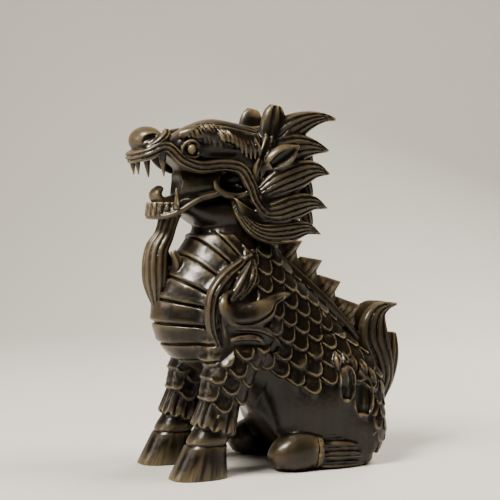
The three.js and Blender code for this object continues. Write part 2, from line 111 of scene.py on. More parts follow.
class Clay:
    """The block of numbers. x starts half a step off the middle plane, so that its mirror image fits."""

    def __init__(self, low, high):
        half_step = (0.5, 0, 0)
        self.axes = [
            (lo + VOXEL * (np.arange(int((hi - lo) / VOXEL) + 1) + first)).astype(np.float32)
            for lo, hi, first in zip(low, high, half_step)
        ]
        self.field = np.full([len(axis) for axis in self.axes], FAR, np.float32)

    def window(self, low, high, skin=SKIN):
        """The part of the block from low to high, and the coordinates there."""
        spans = []
        for axis, lo, hi in zip(self.axes, low, high):
            first, last = np.searchsorted(axis, (lo - skin, hi + skin))
            spans.append(slice(int(first), int(last)))
        x, y, z = (axis[span] for axis, span in zip(self.axes, spans))
        return tuple(spans), (x[:, None, None], y[None, :, None], z[None, None, :])

    def add(self, form, blend):
        """Joins a form in, with a fillet of size blend."""
        spans, distance = form
        self.field[spans] = soft_min(self.field[spans], distance, blend)

    def carve(self, form, blend):
        """Cuts a form out, and rounds the cut's rim by blend."""
        spans, distance = form
        self.field[spans] = soft_max(self.field[spans], -distance, blend)

    def relief(self, low, high, height):
        """Raises the skin by height(x, y, z) inside a box."""
        spans, coordinates = self.window(low, high, 0)
        self.field[spans] -= height(*coordinates).astype(np.float32)

    def skin_x(self, y, z):
        """How far out the skin is at a place in the side view."""
        j = int(np.searchsorted(self.axes[1], y))
        k = int(np.searchsorted(self.axes[2], z))
        inside = np.flatnonzero(self.field[:, j, k] < 0)
        return float(self.axes[0][inside[-1]]) if len(inside) else 0.0


BLOCK = ((0, -60, -3), (36, 78, 154))
clay = Clay(*BLOCK)
BEDDED = 0.3  # how deep a form that is laid on the skin sinks into it


def on_skin(stations, lift):
    """Stations given as y, z and two half sizes, laid on the skin and raised by a share of the first."""
    return [
        (clay.skin_x(y, z) + lift * across - BEDDED, y, z, across, deep) for y, z, across, deep in stations
    ]


def add_all(forms, blend):
    """Adds forms that were all laid on the skin before any of them became part of it."""
    for form in forms:
        clay.add(form, blend)


def slab_section(across, rise, wide, deep, power):
    """Distance to a superellipse with half sizes wide and deep, measured along the ray from its middle."""
    ratio = (np.abs(across / wide) ** power + np.abs(rise / deep) ** power) ** (1 / power)
    ratio = np.maximum(ratio, 1e-4)
    return np.hypot(across, rise) * (1 - 1 / ratio)


def upright(rows, power, cap=4.0):
    """A form built of level slices. Each row is front y, front z, back y, back z and half width."""
    rows = np.array(rows, float)
    rows = rows[np.argsort(rows[:, 1])]
    low = (-rows[:, 4].max(), rows[:, 0].min(), min(rows[0, 1], rows[0, 3]))
    high = (rows[:, 4].max(), rows[:, 2].max(), max(rows[-1, 1], rows[-1, 3]))
    spans, (px, py, pz) = clay.window(low, high)
    front = smooth_curve(pz, rows[:, 1], rows[:, 0])
    back = smooth_curve(pz, rows[:, 3], rows[:, 2])
    half = smooth_curve(pz, (rows[:, 1] + rows[:, 3]) / 2, rows[:, 4])
    side = slab_section(px, py - (front + back) / 2, half, (back - front) / 2, power)
    ends = np.maximum(low[2] - pz, pz - high[2])
    return spans, soft_max(side, ends + 0 * side, cap)


def lengthwise(rows, power=2.4, cap=2.0):
    """A form built of slices from front to back. Each row is y, top z, bottom z and half width."""
    rows = np.array(rows, float)
    low = (-rows[:, 3].max(), rows[:, 0].min(), rows[:, 2].min())
    high = (rows[:, 3].max(), rows[:, 0].max(), rows[:, 1].max())
    spans, (px, py, pz) = clay.window(low, high)
    top, bottom, half = (smooth_curve(py, rows[:, 0], rows[:, i]) for i in (1, 2, 3))
    side = slab_section(px, pz - (top + bottom) / 2, half, (top - bottom) / 2, power)
    ends = np.maximum(low[1] - py, py - high[1])
    return spans, soft_max(side, ends + 0 * side, cap)


def egg(middle, half):
    """An ellipsoid by its middle and three half sizes."""
    middle, half = np.array(middle, float), np.array(half, float)
    spans, coordinates = clay.window(middle - half, middle + half)
    offsets = [(axis - m) / h for axis, m, h in zip(coordinates, middle, half)]
    near = np.sqrt(sum(offset**2 for offset in offsets)) + 1e-4
    steep = np.sqrt(sum((offset / h) ** 2 for offset, h in zip(offsets, half))) + 1e-4
    return spans, near * (near - 1) / steep


def path_of(stations, steps):
    """A smooth path through the stations, which are x, y, z and two half sizes."""
    rows = np.array(stations, float)
    gaps = np.linalg.norm(np.diff(rows[:, :3], axis=0), axis=1)
    knots = np.concatenate([[0], np.cumsum(np.sqrt(gaps))])
    at = np.linspace(0, knots[-1], steps + 1)
    return np.stack([smooth_curve(at, knots, column) for column in rows.T], axis=1)


def tube(stations, cords=0, depth=0.0, flutes=0, steps=None, power=2.0, shape=None):
    """A form swept along a smooth path. Its outer face may carry long cords, or flutes may run all round it.

    Each station is x, y, z, the half size across and the half size in the plane of the path.
    shape(share, across, rise) may add relief: share runs from 0 to 1 along the path, and the others from
    -1 to 1 over the section.
    """
    steps = steps or 5 * (len(stations) - 1)
    rows = path_of(stations, steps)
    points = rows[:, :3]
    ways = np.gradient(points, axis=0)
    ways /= np.linalg.norm(ways, axis=1)[:, None]
    outward = np.array([1.0, 0, 0])
    across = outward - ways * ways[:, :1]
    across /= np.linalg.norm(across, axis=1)[:, None]
    rise = np.cross(ways, across)
    reach = rows[:, 3:].max(axis=1)[:, None]
    spans, coordinates = clay.window((points - reach).min(axis=0), (points + reach).max(axis=0))
    shape_of = [span.stop - span.start for span in spans]

    def blank(value):
        return np.full(shape_of, value, np.float32)

    # What is known at each place: the squared distance to the path, the share of the path there, the place in
    # the section as u and v, and how far it is past an end
    nearest, share, u, v, beyond = blank(FAR * FAR), blank(0), blank(0), blank(FAR), blank(FAR)
    margin = 3
    for i in range(steps):
        start, end = points[i], points[i + 1]
        low = np.minimum(start, end) - reach[i] - margin
        high = np.maximum(start, end) + reach[i] + margin
        part, _ = clay.window(low, high, 0)
        part = tuple(slice(max(p.start - s.start, 0), max(p.stop - s.start, 0)) for p, s in zip(part, spans))
        here = [axis[p].reshape(-1) for axis, p in zip((c.reshape(-1) for c in coordinates), part)]
        offsets = [
            (here[0] - np.float32(start[0]))[:, None, None],
            (here[1] - np.float32(start[1]))[None, :, None],
            (here[2] - np.float32(start[2]))[None, None, :],
        ]
        step = end - start
        length = np.linalg.norm(step)

        def along(direction):
            return sum(offset * np.float32(d) for offset, d in zip(offsets, direction))

        travel = along(step / length)
        t = np.clip(travel / np.float32(length), 0, 1)
        square = sum(offset * offset for offset in offsets)
        past = travel - t * np.float32(length)
        gap = square - travel * travel + past * past
        closer = gap < nearest[part]
        if not closer.any():
            continue
        u_here = (1 - t) * along(across[i]) + t * (along(across[i + 1]) - np.float32(step.dot(across[i + 1])))
        v_here = (1 - t) * along(rise[i]) + t * (along(rise[i + 1]) - np.float32(step.dot(rise[i + 1])))
        outside = np.zeros_like(past)
        if i == 0:
            outside = np.maximum(outside, -past)
        if i == steps - 1:
            outside = np.maximum(outside, past)
        found = ((nearest, gap), (share, (i + t) / steps), (u, u_here), (v, v_here), (beyond, outside))
        for whole, piece in found:
            whole[part] = np.where(closer, piece, whole[part])
    places = np.linspace(0, 1, steps + 1)
    wide = np.interp(share, places, rows[:, 3]).astype(np.float32)
    deep = np.interp(share, places, rows[:, 4]).astype(np.float32)
    distance = slab_section(u, v, wide, deep, power)
    fine = depth * np.minimum(1, deep / 2)
    if cords:
        distance += fade(u / wide, -0.2, 0.3) * lobes(held(v / deep), cords) * fine
    if flutes:
        distance += lobes(np.arctan2(v / deep, u / wide) / math.pi, flutes) * fine
    if shape:
        distance -= shape(share, u / wide, v / deep)
    return spans, np.where(beyond > 0, np.hypot(np.maximum(distance, 0), beyond), distance)


def outline_distance(points, y, z):
    """Signed distance in the side view to a closed outline of (y, z) points."""
    points = np.array(points, float)
    nearest = np.full(np.broadcast(y, z).shape, FAR**2)
    inside = np.zeros(nearest.shape, bool)
    for (y0, z0), (y1, z1) in zip(points, np.roll(points, -1, axis=0)):
        share = ((y - y0) * (y1 - y0) + (z - z0) * (z1 - z0)) / ((y1 - y0) ** 2 + (z1 - z0) ** 2)
        share = np.clip(share, 0, 1)
        nearest = np.minimum(nearest, (y - y0 - share * (y1 - y0)) ** 2 + (z - z0 - share * (z1 - z0)) ** 2)
        if z0 != z1:
            inside ^= ((z0 > z) != (z1 > z)) & (y < y0 + (z - z0) / (z1 - z0) * (y1 - y0))
    return np.sqrt(nearest) * np.where(inside, -1, 1)


def plate(points, x, thickness, bevel=None, relief=None, edge=0.8):
    """A plate cut to an outline in the side view. A bevel thins it, down to a fifth at its edge."""
    points = np.array(points, float)
    low = (x - thickness / 2, *points.min(axis=0))
    high = (x + thickness / 2, *points.max(axis=0))
    spans, (px, py, pz) = clay.window(low, high)
    flat = outline_distance(points, py, pz)
    half = thickness / 2
    if bevel:
        half = np.minimum(half, thickness / 10 + bevel * np.maximum(0, -flat))
    if relief:
        half = half + relief(py, pz) * fade(-flat, 0.9, 2.2)
    return spans, soft_max(flat, np.abs(px - x) - half, edge)


# Body. The trunk's rows are as in upright.
TRUNK = [
    (-23, 112, 8, 112, 11), (-24.5, 103, 8, 103, 12.2), (-27, 94.5, 8.5, 94, 15), (-33, 86, 14, 84, 18.3),
    (-38.5, 78, 20.5, 77, 20.4), (-41.5, 69.5, 27.5, 70.5, 21.6), (-41.8, 61, 35, 63, 22),
    (-39, 53, 42, 55, 22), (-33, 46, 48.5, 47, 21.5), (-24, 40.5, 54.5, 40, 21.5),
    (-13, 34.5, 59, 32, 21.5), (0, 21, 57, 18, 20), (13, 6, 48, 4, 15),
]
FORELEG_X = 18
# z, the middle's y, half depth, half width, and how far the middle lies in from the leg's line
FORELEG = [
    (86, -8, 5, 3, 5), (78, -12, 12, 6.6, 3), (70, -12.5, 15, 8, 1.2), (60, -12, 16.4, 8.4, 0.6),
    (52, -14, 13.6, 8, 0.2), (44, -17, 11, 7.6, 0), (30, -21, 8, 6.2, 0), (19.5, -25.2, 7.1, 6, 0),
    (16.4, -26.4, 8, 6.9, 0), (13.6, -27.6, 8.3, 7.1, 0), (0, -31.3, 11.9, 8.8, 0),
]
REAR_X = 20.5
# Middles and half sizes
THIGH = ((14, 28, 27), (13.6, 26.5, 25.5))
HEEL = ((18.5, 41, 15.4), (9.6, 12, 14))


def foreleg():
    """The leg from the shoulder to the sole."""
    rows = np.array(sorted(FORELEG), float)
    low = (FORELEG_X - 14, (rows[:, 1] - rows[:, 2]).min(), rows[0, 0])
    high = (FORELEG_X + 10, (rows[:, 1] + rows[:, 2]).max(), rows[-1, 0])
    spans, (px, py, pz) = clay.window(low, high)
    middle, deep, wide, inward = (smooth_curve(pz, rows[:, 0], rows[:, i]) for i in (1, 2, 3, 4))
    return spans, slab_section(px - FORELEG_X + inward, py - middle, wide, deep, power=2.5)


# A scale's height: at its root, from root to tip, and in its rim, dome, hatching and the groove round it
SCALE_ROOT, SCALE_RISE, SCALE_RIM, SCALE_DOME, SCALE_HATCH, SCALE_GROOVE = 0.2, 1.3, 0.35, 0.22, 0.32, 0.5


def scale_edge(u):
    """How far down a scale reaches, where u runs from -0.5 to 0.5 across it."""
    return 1 - (2 * np.abs(u)) ** 2.6


def scale_relief(y, z, rows, width, pitch, lean, origin):
    """Height of scales over the side view, in a lattice that leans back by some degrees, tips down.

    Rows lie apart by pitch widths. Each of rows is a row's number and its first and last column that show.
    """
    turn = math.radians(lean)
    along = ((y - origin[0]) * math.cos(turn) + (z - origin[1]) * math.sin(turn)) / width
    down = ((y - origin[0]) * math.sin(turn) - (z - origin[1]) * math.cos(turn)) / (width * pitch)

    def column_in(row):
        shift = np.mod(row, 2) / 2
        return np.round(along - shift) + shift

    row = np.floor(down)
    row = np.where(down - row <= scale_edge(along - column_in(row)), row, row + 1)
    column = column_in(row)
    u, w = along - column, down - row
    inner = scale_edge(u) - w
    rim = fade(inner, 0.36, 0.2) * fade(inner, 0, 0.06)
    dome = SCALE_DOME * (1 - (2 * u) ** 2) * fade(inner, 0.3, 0.7)
    hatch = SCALE_HATCH * lobes(held(2 * u), 6) * fade(inner, 0.5, 0.8)
    slope = SCALE_ROOT + SCALE_RISE * fade(w, -1, 0.9)
    shown = slope + SCALE_RIM * rim + dome - hatch - SCALE_GROOVE * fade(inner, 0.06, 0)
    height = np.zeros(np.broadcast(y, z).shape)
    for number, first, last in rows:
        here = (row == number) & (column >= first) & (column <= last)
        height = np.where(here, shown, height)
    return height


FLANK_ROWS = [
    (-5, -0.5, 1.5), (-4, -1, 3), (-3, -0.5, 4.5), (-2, -1, 5), (-1, -0.5, 6.5), (0, -1, 7),
    (1, -0.5, 6.5), (2, -2, 6), (3, -1.5, 5.5), (4, -1, 5), (5, -0.5, 5.5), (6, 2, 6), (7, 2.5, 6.5),
    (8, 4, 6),
]
FORELEG_ROWS = [(-2, -1, 2), (-1, -1.5, 1.5), (0, -1, 1), (1, -1.5, 0.5), (2, -1, 0)]
HAUNCH_ROWS = [(row, -1 - row % 2 / 2, 1 + row % 2 / 2) for row in range(-1, 5)]
FLANK_SCALES = dict(rows=FLANK_ROWS, width=8.4, pitch=0.68, lean=25, origin=(7, 64.6))
FORELEG_SCALES = dict(rows=FORELEG_ROWS, width=9, pitch=0.66, lean=14, origin=(-17.5, 45.6))
HAUNCH_SCALES = dict(rows=HAUNCH_ROWS, width=6.4, pitch=0.8, lean=-14, origin=(49, 30))


def scaled_skin(x, y, z):
    """Scales over the flank, larger ones on the upper foreleg and small ones down the back of the haunch."""
    flank = scale_relief(y, z, **FLANK_SCALES) * fade(x, 3, 5.5)
    breast_edge = np.minimum(52, 70 + y)
    leg = scale_relief(y, z, **FORELEG_SCALES) * fade(z - breast_edge, 1, -2) * fade(x, 9, 11)
    haunch = scale_relief(y, z, **HAUNCH_SCALES) * fade(y, 42.6, 44.6)
    return np.maximum(flank, np.maximum(1.1 * leg, 0.7 * haunch * fade(x, 2, 7)))


# The grooves between the breast bands lie in planes: y and z where each meets the shoulder's hair, and how
# steeply it falls from there towards the back
BAND_CUTS = [
    (-12.3, 86.6, 1.3), (-16.8, 84.3, 1.05), (-22.5, 79.6, 0.9), (-28.1, 73.7, 0.6), (-29, 67.7, 0.22),
    (-29.5, 60.1, 0.06), (-28.6, 53, -0.06), (-26, 46.4, -0.2),
]
# Where the shoulder's hair ends the bands: heights, and how far forward it reaches there
HAIR_EDGE = ([44, 54, 60, 68, 74, 80, 86, 90, 98], [-23, -25, -26, -27, -25, -20, -13, -6, -2])
BREAST_RISE, BAND_GROOVE, BAND_SWELL = 1.3, 1.7, 0.4


def banded_skin(x, y, z):
    """The breast stands out below the neck. Grooves part it into bands, each swollen at its lower edge."""

    def above(cut):
        return z - cut[1] + cut[2] * (y - cut[0])

    height = BREAST_RISE * fade(z, 97.5, 96) * fade(above(BAND_CUTS[0]), 8.5, 7.5) + 0 * x
    for cut in BAND_CUTS:
        over = above(cut)
        height = height - BAND_GROOVE * np.exp(-((over / 0.5) ** 2))
        height = height + BAND_SWELL * np.exp(-(((over - 1.5) / 1.3) ** 2))
    ahead = fade(y - smooth_curve(z, *HAIR_EDGE), 2.5, 0)
    return height * ahead * fade(z, 99, 97) * fade(z, 44, 47)


HOOF_TOP = 13.4


def hoof_groove(x, y, z):
    """The groove round the leg at the top of the fore hoof."""
    return -0.55 * np.exp(-(((z - HOOF_TOP) / 0.45) ** 2)) + 0 * x * y


clay.add(upright(TRUNK, 2.1), 0)
clay.add(egg(*THIGH), 7)
clay.add(foreleg(), 3)
clay.add(egg(*HEEL), 4)
clay.relief((0, -44, 40), (24, -5, 102), banded_skin)
clay.relief((5, -46, 10), (31, -14, 18), hoof_groove)
clay.relief((3, -34, 3), (34, 66, 104), scaled_skin)

# Hind feet, with a hoof that is broader than the cuff behind it
FOOT = [(REAR_X, 44, 6.4, 6.4, 6.4), (REAR_X, 30, 6.6, 6.4, 6.8), (REAR_X, 19.5, 7, 6.8, 7.2)]
REAR_HOOF = [
    (REAR_X, 18, 7.8, 7.4, 7.8), (REAR_X, 14.6, 8, 8, 8.4), (REAR_X, 10.4, 7.4, 8, 8.3),
    (REAR_X, 5.6, 6.2, 7.2, 7), (REAR_X, 2.4, 4.8, 5.4, 5), (REAR_X, 0.8, 3.8, 3.2, 3.4),
]
CUFF = [(REAR_X, 20.6, 7.4, 7.5, 7.8), (REAR_X, 18.4, 7.5, 7.7, 8)]
FOOT_STRANDS = 4
clay.add(tube(FOOT, power=2.3), 1.5)
clay.add(tube(REAR_HOOF, power=2.3), 0.2)
clay.add(tube(CUFF, steps=4, power=2.3), 0.1)


def foot_strand(i):
    """One of the flat strands that lie back over the hind foot from behind its cuff."""
    z = 13.4 - 3.6 * i
    x = REAR_X + (3.8, 6, 6.4, 5.4)[i]
    return [
        (x - 0.6, 20.4, z, 1.6, 2), (x, 25.6, z - 0.2, 1.8, 2.2), (x - 0.2, 32, z - 0.5, 1.7, 2.1),
        (x - 0.8, 38, z - 1, 1.2, 1.6), (x - 1.6, 42, z - 1.6, 0.5, 0.6),
    ]


for number in range(FOOT_STRANDS):
    clay.add(tube(foot_strand(number), cords=2, depth=0.6), 0.15)

# Skirts of hair over the fore hooves
SKIRT = [
    (FORELEG_X, -19.6, 35, 5, 6.8), (FORELEG_X, -21.6, 29.5, 6.6, 8.2), (FORELEG_X, -23.4, 24, 7.4, 8.9),
    (FORELEG_X, -25.2, 18, 8.3, 9.7),
]
SKIRT_STRANDS = 11


def ragged(share, across, rise):
    """Cuts the lower end of a skirt of hair to points."""
    strand = np.abs(np.sin(SKIRT_STRANDS / 2 * np.arctan2(rise, across)))
    return -3 * fade(share, 0.88 + 0.08 * strand, 0.93 + 0.08 * strand)


clay.add(tube(SKIRT, flutes=SKIRT_STRANDS, depth=1.1, shape=ragged, power=2.3), 0.3)

# Head. The rows of skull and jaw are as in lengthwise, and the mane's as in upright.
SKULL = [
    (-53, 130, 126.6, 4.4), (-47.5, 132, 127, 9.4), (-41, 134.4, 129, 10.2), (-37, 135.6, 126.6, 10.8),
    (-33, 138.2, 123.4, 11.8), (-28, 140.9, 121.9, 12.6), (-21, 143.4, 121.6, 13.4),
    (-8, 142.3, 116, 14.8), (0, 141, 108, 15),
]
JAW = [
    (-45, 108, 103.8, 3), (-43, 108.2, 103.4, 5.6), (-39.6, 108.2, 103.2, 7.8), (-36, 109, 104.6, 9.2),
    (-31, 111, 104, 10), (-25, 112.2, 100, 11), (-18, 112.9, 97, 12.4), (-10, 112.4, 96, 13.6),
]
# The upper lip's cords run back along the cheek and down into the mane. A row ends with its two half sizes.
LIP = [
    (0, -52.4, 127.6, 1.9, 2.7), (4.6, -51.4, 127.8, 1.9, 2.7), (8.8, -48.2, 128.8, 1.9, 2.7),
    (10.4, -41.6, 131.3, 1.9, 2.6), (12, -35, 126, 1.9, 2.7), (13.2, -28.4, 123.7, 1.9, 2.7),
    (14.4, -17.6, 124.3, 1.9, 2.7), (15, -11.2, 122.9, 1.9, 2.8), (15.8, -7, 116.5, 1.9, 2.8),
    (16.4, -4.6, 110, 1.8, 2.6), (17.6, -0.4, 105.4, 1.8, 2.4), (18, 6, 104.4, 1.4, 1.8),
]
MANE = [
    (-13, 95.5, 12, 97, 11.5), (-12, 103, 17.5, 103, 14.4), (-10, 115, 21, 115, 15),
    (-6, 128, 23, 128, 14.4), (-4, 136.5, 22, 137.5, 12.4), (0, 140.5, 15, 141.4, 8.6),
]
THROAT = [(0, -4, 117, 10.5, 9), (0, -20, 117, 10.5, 8), (0, -30, 117, 8.5, 8), (0, -34.4, 118.5, 5, 6)]
MOUTH = ((0, -37.4, 117), (9, 5, 5.4))

clay.add(lengthwise(SKULL), 1)
clay.add(lengthwise(JAW), 1)
clay.add(tube(THROAT), 3)
clay.carve(egg(*MOUTH), 2)
clay.add(upright(MANE, 2.6, cap=3), 2)


def hair_lines(x, y, z):
    """Wavy lines that run back over the crown and down behind the head."""
    behind = np.maximum(fade(y, 15, 19), fade(z, 136, 139) * fade(y, -7, -3))
    wave = x + 0.7 * np.sin(0.35 * z + 0.3 * y)
    return -0.9 * np.abs(np.cos(math.pi * wave / 2.7)) ** 6 * behind * fade(x, 13, 11)


clay.relief((0, -9, 94), (16, 26, 146), hair_lines)

# Tongue, and the nose with its nostrils
TONGUE = [
    (0, -22, 112, 6, 3), (0, -33, 110.4, 5.2, 2.5), (0, -40, 109.8, 4.8, 2.2), (0, -42.2, 112.6, 4.4, 2.3),
    (0, -40.2, 115.6, 3.4, 1.3),
]
NOSE = ((0, -46.2, 134.4), (8.8, 6.8, 5.7))
NOSTRIL = [(8.2, -51.4, 132.4, 1.8, 0.8), (8.8, -48.6, 134.8, 2.2, 1.5), (8.4, -44.8, 136.2, 1.6, 0.8)]
WING = [
    (5.6, -39.4, 138, 1.4, 1.6), (9, -41, 135.6, 1.6, 2.4), (9.8, -44.4, 132.6, 1.5, 2.2),
    (8.2, -48.8, 130.8, 1.1, 1.2),
]
clay.add(tube(TONGUE), 0.5)
clay.add(egg(*NOSE), 1.5)
clay.carve(tube(NOSTRIL), 0.4)
clay.add(tube(WING, cords=3, depth=0.8), 0.3)

# Lips, cheek and teeth
LOWER_LIP = [
    (0, -44.8, 103.6, 1, 1), (4, -43.8, 103.6, 1, 1), (7.6, -40.6, 104, 1.1, 1.1),
    (9.6, -36, 105.6, 1.2, 1.2), (10.8, -31, 108.8, 1.2, 1.2), (11.4, -26.8, 111, 1.1, 1.1),
    (12.4, -21.6, 112.4, 1.1, 1.1), (13, -17.6, 113.4, 1, 1),
]
# The hollow behind the corner of the mouth, and the curl under it
CHEEK = ((15.5, -13, 117.9), (9, 6.4, 5))
CHEEK_CURL = [
    (12.4, -21.4, 118.4, 0.5, 0.6), (12.6, -20.4, 115.4, 1.2, 1.3), (13.4, -17.6, 113, 1.4, 1.5),
    (14.6, -13, 112, 1.4, 1.4), (15.4, -8.4, 113, 1.2, 1.1),
]
clay.add(tube(LOWER_LIP), 0.3)
clay.carve(egg(*CHEEK), 0.6)
clay.add(tube(CHEEK_CURL), 0.2)
clay.add(tube(LIP, cords=3, depth=1.2), 0.2)

# Fangs: root, tip and half thickness. Two hang from the upper jaw and one stands on the lower.
FANGS = [
    ((9, -42.8, 129), (8.7, -41.8, 119.7), 1.9), ((2.9, -51, 127.2), (2.8, -50.4, 120.6), 1.5),
    ((9, -36.3, 106.6), (8.8, -36.6, 115.4), 1.5),
]
for root, tip, half in FANGS:
    clay.add(tube([(*root, half, half), (*tip, 0.3, 0.3)], steps=2), 0.2)
# Blunt teeth round the chin
CHIN_TEETH = 5
for number in range(CHIN_TEETH):
    turn = math.radians(12 + 20 * number)
    x, y = 7 * math.sin(turn), -37.6 - 7.2 * math.cos(turn)
    clay.add(tube([(x, y, 103.8, 1.6, 1.6), (x * 0.97, y + 0.3, 109.6, 1.25, 1.25)], steps=2), 0.1)

# Brow with its fringe, and the eye
BROW = [
    (9.4, -35.5, 136.4, 2, 1.6), (11.2, -31, 137.2, 2.4, 2.6), (12.2, -24, 137, 2.6, 3.8),
    (13.2, -16, 135.6, 2.6, 4.2), (14, -8.5, 134, 2.4, 4.2), (14, -3, 134.4, 1.8, 3),
]
clay.add(tube(BROW), 1)
FRINGE = 9
for number in range(FRINGE):
    share = number / (FRINGE - 1)
    y = -19.5 + 15 * share
    top = 139 - 1.5 * share
    tip = 133.2 - 5.4 * fade(share, 0, 0.7) + 0.9 * math.sin(7 * number)
    middle = (top + tip) / 2
    strand = [
        (13 + share, y - 1.4, top, 0.7, 0.6), (15.4 + share, y - 0.6, middle + 1, 1.2, 1.15),
        (15.9 + share, y + 0.4, middle - 1.4, 1.2, 1.1), (15.2 + share, y + 1.3, tip, 0.35, 0.3),
    ]
    clay.add(tube(strand), 0.1)


def strokes(x, y, z):
    """Short slanting strokes over the brow, in two broken rows."""
    along = (y + 0.5 * z) / 1.9
    upper = fade(np.abs(z - 139.4 + 0.06 * (y + 24) ** 2), 2, 1.2)
    lower = fade(np.abs(z - 134.2 + 0.05 * (y + 25) ** 2), 1.6, 0.9)
    cut = -0.6 * np.maximum(0, np.cos(2 * math.pi * along + 0.9 * np.sin(0.7 * z + y))) ** 3
    return cut * (upper + lower) * fade(y, -36, -33) * fade(y, -15, -18)


# The hollow behind the eye, the socket, the ring round the eye and the ball
EYE_CORNER = ((15.6, -21, 129.4), (3.2, 8.6, 2.6))
SOCKET = ((14, -31.4, 130.4), (2.6, 4.2, 3.5))
EYE_RING = ((12.8, -31.3, 130.6), (3.7, 3.4), 0.6)
EYEBALL = ((11.5, -31.4, 130.6), (2.5, 1.9, 2.4))

clay.relief((4, -38, 128), (20, -14, 144), strokes)
clay.carve(egg(*EYE_CORNER), 1.2)
clay.carve(egg(*SOCKET), 1)


def ring(middle, radii, thick, count=14):
    """A closed cord round a point, in the side view."""
    stations = []
    for i in range(count + 1):
        turn = 2 * math.pi * i / count
        x = middle[0] - 0.9 * (math.cos(turn) ** 2)
        y = middle[1] + radii[0] * math.cos(turn)
        z = middle[2] + radii[1] * math.sin(turn)
        stations.append((x, y, z, thick, thick))
    return tube(stations, steps=2 * count)


clay.add(ring(*EYE_RING), 0.3)
clay.add(egg(*EYEBALL), 0.1)

# Horn and ear
HORN = [
    (9.5, 3.2, 131, 3.2, 4.6), (10.6, 4.6, 136.5, 3.4, 5.6), (11.2, 5.4, 142, 3, 5.7),
    (11.2, 6, 146.4, 2.6, 4.8), (11.1, 6.6, 149.2, 1.8, 2.8),
]
EAR = [
    (14, -1.4, 122.8, 2.2, 1.7), (17, 2.6, 126, 3.1, 4.2), (18, 8, 129, 2.9, 4.5),
    (17.4, 14, 132.6, 0.5, 0.6),
]
EAR_FRONT = ((17.6, -0.8, 120.6), (3.2, 2.4, 4.6))
EAR_HOLLOW = [
    (18.6, 0.9, 124.4, 1.4, 1.5), (20.4, 4.6, 126.9, 2, 2.7), (20.8, 8.8, 129.5, 1.8, 2.4),
    (19.6, 12, 131.5, 0.7, 0.8),
]
clay.add(tube(HORN, cords=3, depth=0.8), 0.4)
clay.carve(egg(*EAR_FRONT), 0.8)
clay.add(tube(EAR), 0.4)
clay.carve(tube(EAR_HOLLOW), 0.3)

# Hair between the brow and the ear
for shift in (0, 2.9):
    temple = [
        (15.4, shift - 5, 118.6, 0.5, 0.6), (15.8, shift - 4.2, 123.6, 1.5, 1.7),
        (15, shift - 1.6, 129.6, 1.6, 1.9), (13.4, shift + 1.2, 135.6, 1.2, 1.5),
        (11.6, shift + 2.6, 138.6, 0.5, 0.6),
    ]
    clay.add(tube(temple, cords=2, depth=0.8), 0.3)

# Mane
SIDE_LOCKS = [
    [(9.5, 4, 132, 4, 6.5), (12, 13.6, 140, 3.4, 6.2), (13, 22, 143.8, 2.6, 3.8),
     (13, 29, 144.8, 1.8, 1.8), (13, 33.4, 144.2, 0.8, 0.7)],
    [(12, 5, 130, 3.4, 6), (13.8, 14, 132, 3, 6.6), (13.8, 22, 132.4, 2, 3.8), (13, 30.2, 131.1, 0.7, 0.6)],
    [(15.4, -4, 112.4, 1.8, 2.4), (17, 4, 117, 2.8, 5.6), (16.6, 13, 120.6, 2.8, 6.4),
     (15.4, 22.4, 122.8, 2, 3.8), (14, 30.2, 121.4, 0.5, 0.4)],
    [(15.4, -5.4, 105.6, 1.8, 2), (17.4, 3, 105.4, 2.8, 5), (17, 12.4, 108, 2.8, 5.6),
     (15.6, 21.6, 109.2, 2, 3.2), (14.2, 28.8, 107.1, 0.5, 0.4)],
    [(13, -14.6, 111.4, 0.5, 0.5), (15.6, -11.8, 105, 1.8, 1.9), (17, -7.6, 99.6, 2.6, 2.8),
     (17.8, -1.6, 97, 2.8, 4), (17, 9, 97.4, 2.8, 4.8), (15.6, 18.6, 98.6, 2, 2.8),
     (14, 26, 96.3, 0.4, 0.3)],
]


def web(upper, lower, steps=20, reach=0.62):
    """The thin wood between two locks: it fills their fork up to a hollow curve, at reach along them."""
    first, second = path_of(upper, steps), path_of(lower, steps)
    last = int(steps * reach)
    outline = [tuple(row[1:3]) for row in first[: last + 1]]
    a, b = first[last, 1:3], second[last, 1:3]
    inner = (first[int(last * 0.8), 1:3] + second[int(last * 0.8), 1:3]) / 2
    pull = inner * 2 - (a + b) / 2
    for t in (0.25, 0.5, 0.75):
        outline.append(tuple(a * (1 - t) ** 2 + 2 * pull * t * (1 - t) + b * t * t))
    outline += [tuple(row[1:3]) for row in second[: last + 1][::-1]]
    x = (first[last // 2, 0] + second[last // 2, 0]) / 2 - 1.2
    return plate(outline, x, 3.6, edge=1)


for upper, lower in zip(SIDE_LOCKS, SIDE_LOCKS[1:]):
    clay.add(web(upper, lower), 1)
for lock in SIDE_LOCKS:
    clay.add(tube(lock, cords=5, depth=1.2), 0.6)
# Locks that hang down the back of the head, on the middle line and beside it: x, and z of the root
HANGING_LOCKS = [(0, 141), (6.5, 134.5), (0, 128), (6.5, 121.5), (0, 115.6), (6.5, 109.6)]
for x, root in HANGING_LOCKS:
    lock = [
        (x, 14, root, 3.6, 3), (x, 20.4, root - 2, 4.4, 3.2), (x, 23.4, root - 7.6, 3.8, 2.4),
        (x, 24.6, root - 13.4, 0.6, 0.5),
    ]
    clay.add(tube(lock, flutes=9, depth=1.2), 0.4)

